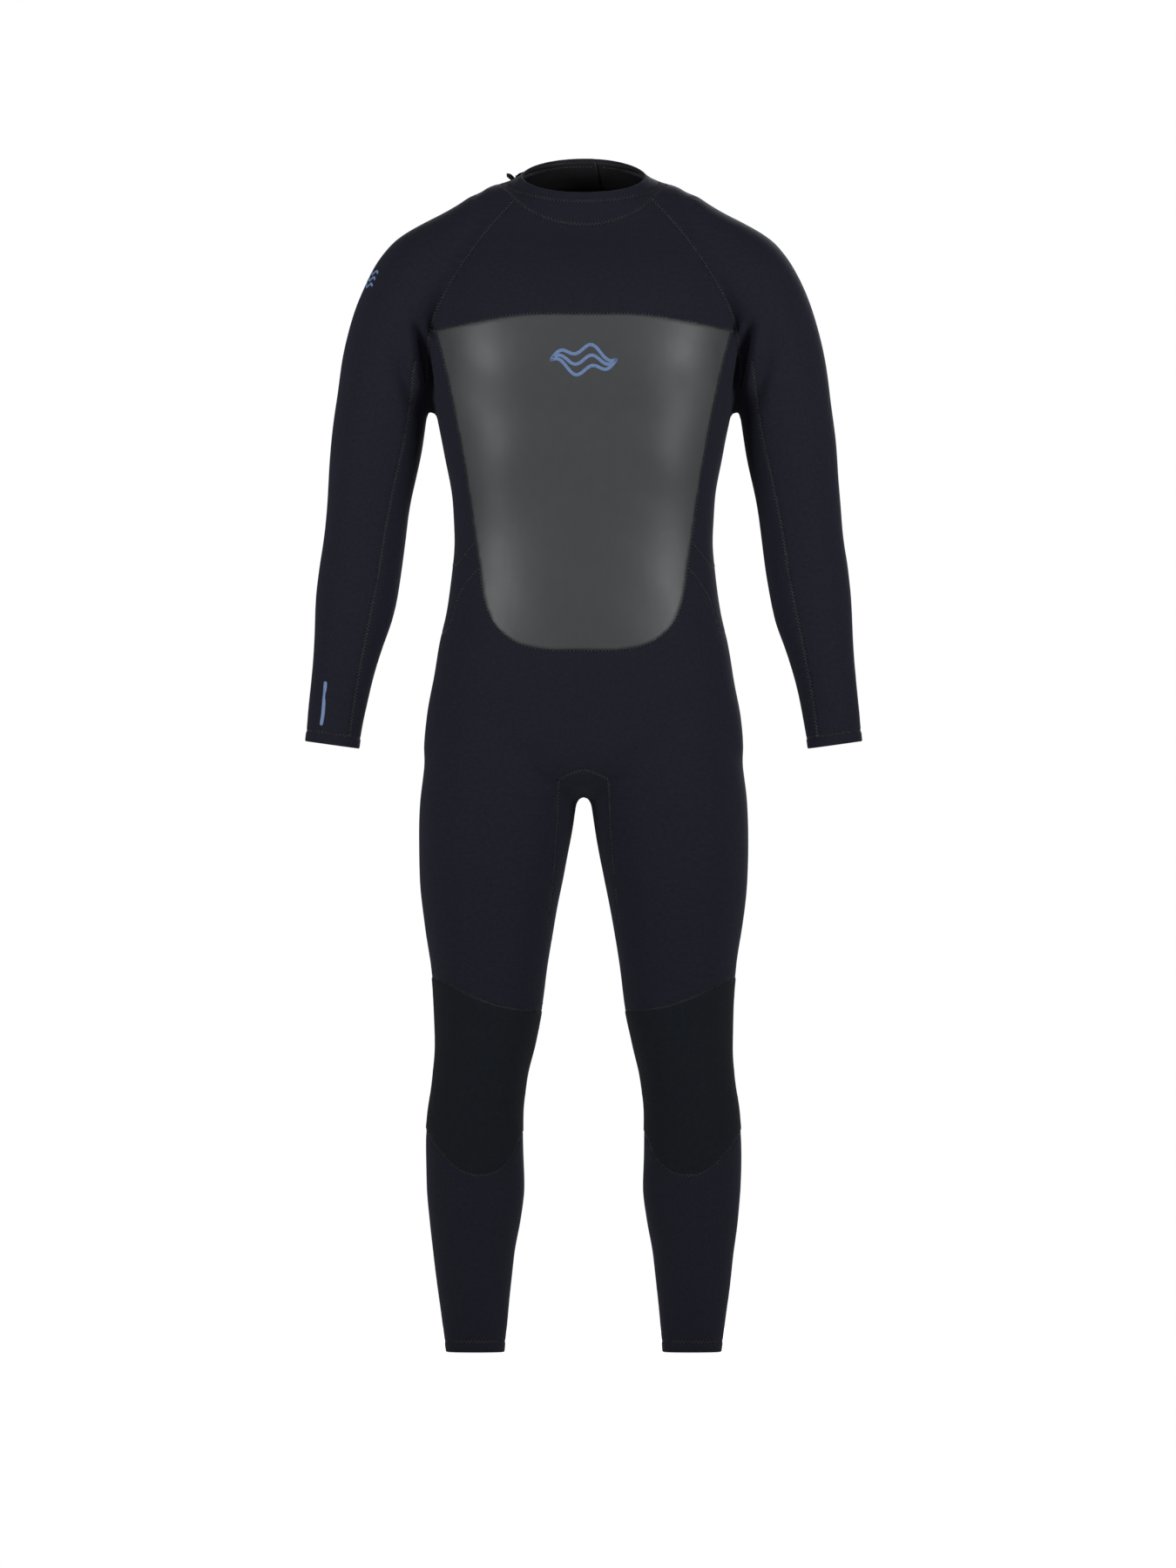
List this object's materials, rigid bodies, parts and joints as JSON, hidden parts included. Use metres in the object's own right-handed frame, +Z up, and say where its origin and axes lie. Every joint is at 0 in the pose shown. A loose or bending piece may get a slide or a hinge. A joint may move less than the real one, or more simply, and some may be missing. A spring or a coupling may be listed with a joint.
{
  "type": "full wetsuit",
  "caption": "Full-length neoprene wetsuit with long sleeves, knee pads, a back zip and a collar closed by a hook-and-loop tab.",
  "frame": {"origin": "below the middle of the suit, on the plane of the two ankle hems", "axes": "+Z up along the body, the chest faces -Y, the wearer's left is +X"},
  "size_m": [0.669, 0.252, 1.4403],
  "materials": {
    "jersey": "matte",
    "knee_jersey": "matte",
    "smoothskin": "satin",
    "lining": "matte",
    "print": "satin",
    "zip_tape": "matte",
    "zip_coil": "satin",
    "slider_metal": "satin",
    "webbing": "matte"
  },
  "bodies": {
    "torso": {"collar": "jersey", "neck_seal": "smoothskin", "upper_chest_panel": "jersey", "chest_panel": "smoothskin", "abdomen_panel": "jersey", "seat_panel": "jersey", "crotch_gusset": "jersey", "left_zip_tape": "zip_tape", "right_zip_tape": "zip_tape", "zip_coil": "zip_coil", "zip_bottom_stop": "slider_metal", "zip_baffle": "lining", "collar_loop_patch": "webbing", "chest_mark": "print", "right_shoulder_mark": "print", "left_side_panel": "jersey", "right_side_panel": "jersey", "left_waist_band": "jersey", "right_waist_band": "jersey", "left_back_panel": "jersey", "right_back_panel": "jersey", "left_shoulder_section": "jersey", "right_shoulder_section": "jersey", "left_hip_section": "jersey", "right_hip_section": "jersey", "left_inner_thigh_panel": "jersey", "right_inner_thigh_panel": "jersey"},
    "slider": {"zip_slider": "slider_metal"},
    "pull": {"zip_pull": "slider_metal"},
    "tab": {"collar_tab": "jersey", "tab_hook_patch": "webbing", "tab_pull_loop": "webbing"},
    "left_upper_arm": {"left_upper_sleeve": "jersey", "left_elbow_section": "jersey"},
    "left_forearm": {"left_forearm_outer_panel": "jersey", "left_forearm_inner_panel": "jersey", "left_wrist_hem": "jersey"},
    "left_thigh": {"left_thigh_panel": "jersey", "left_hamstring_panel": "jersey", "left_knee_pad": "knee_jersey", "left_knee_back_panel": "jersey"},
    "left_shin": {"left_shin_panel": "jersey", "left_calf_panel": "jersey", "left_ankle_hem": "jersey"},
    "right_upper_arm": {"right_upper_sleeve": "jersey", "right_elbow_section": "jersey"},
    "right_forearm": {"right_forearm_outer_panel": "jersey", "right_forearm_inner_panel": "jersey", "right_wrist_hem": "jersey", "right_forearm_mark": "print"},
    "right_thigh": {"right_thigh_panel": "jersey", "right_hamstring_panel": "jersey", "right_knee_pad": "knee_jersey", "right_knee_back_panel": "jersey"},
    "right_shin": {"right_shin_panel": "jersey", "right_calf_panel": "jersey", "right_ankle_hem": "jersey"}
  },
  "joints": [
    {"name": "zip_slide", "type": "slide", "parent": "torso", "child": "slider", "axis": [0, -0.0612, -0.9981], "range_m": [0, 0.378]},
    {"name": "pull_swing", "type": "hinge", "parent": "slider", "child": "pull", "pos_m": [0, 0.10946, 1.33391], "axis": [1, 0, 0], "range_deg": [0, 150]},
    {"name": "tab_peel", "type": "hinge", "parent": "torso", "child": "tab", "pos_m": [0.038, 0.06692, 1.4215], "axis": [0, 0.6044, -0.7967], "range_deg": [0, 120]},
    {"name": "left_shoulder", "type": "hinge", "parent": "torso", "child": "left_upper_arm", "pos_m": [0.225, 0.00692, 1.19], "axis": [0, -1, 0], "range_deg": [0, 30], "stiffness_Nm_per_rad": 0.8, "deforming": ["left_shoulder_section"]},
    {"name": "left_elbow", "type": "hinge", "parent": "left_upper_arm", "child": "left_forearm", "pos_m": [0.262, 0.00592, 0.992], "axis": [-0.9893, 0, -0.146], "range_deg": [0, 90], "stiffness_Nm_per_rad": 0.3, "deforming": ["left_elbow_section"]},
    {"name": "left_hip", "type": "hinge", "parent": "torso", "child": "left_thigh", "pos_m": [0.095, 0.00492, 0.74], "axis": [-1, 0, 0], "range_deg": [0, 60], "stiffness_Nm_per_rad": 1.2, "deforming": ["left_hip_section", "left_inner_thigh_panel"]},
    {"name": "left_knee", "type": "hinge", "parent": "left_thigh", "child": "left_shin", "pos_m": [0.122, 0.00192, 0.343], "axis": [1, 0, 0], "range_deg": [0, 90], "stiffness_Nm_per_rad": 0.6, "deforming": ["left_knee_pad", "left_knee_back_panel"]},
    {"name": "right_shoulder", "type": "hinge", "parent": "torso", "child": "right_upper_arm", "pos_m": [-0.225, 0.00692, 1.19], "axis": [0, 1, 0], "range_deg": [0, 30], "stiffness_Nm_per_rad": 0.8, "deforming": ["right_shoulder_section", "right_shoulder_mark"]},
    {"name": "right_elbow", "type": "hinge", "parent": "right_upper_arm", "child": "right_forearm", "pos_m": [-0.262, 0.00592, 0.992], "axis": [-0.9893, 0, 0.146], "range_deg": [0, 90], "stiffness_Nm_per_rad": 0.3, "deforming": ["right_elbow_section"]},
    {"name": "right_hip", "type": "hinge", "parent": "torso", "child": "right_thigh", "pos_m": [-0.095, 0.00492, 0.74], "axis": [-1, 0, 0], "range_deg": [0, 60], "stiffness_Nm_per_rad": 1.2, "deforming": ["right_hip_section", "right_inner_thigh_panel"]},
    {"name": "right_knee", "type": "hinge", "parent": "right_thigh", "child": "right_shin", "pos_m": [-0.122, 0.00192, 0.343], "axis": [1, 0, 0], "range_deg": [0, 90], "stiffness_Nm_per_rad": 0.6, "deforming": ["right_knee_pad", "right_knee_back_panel"]}
  ]
}
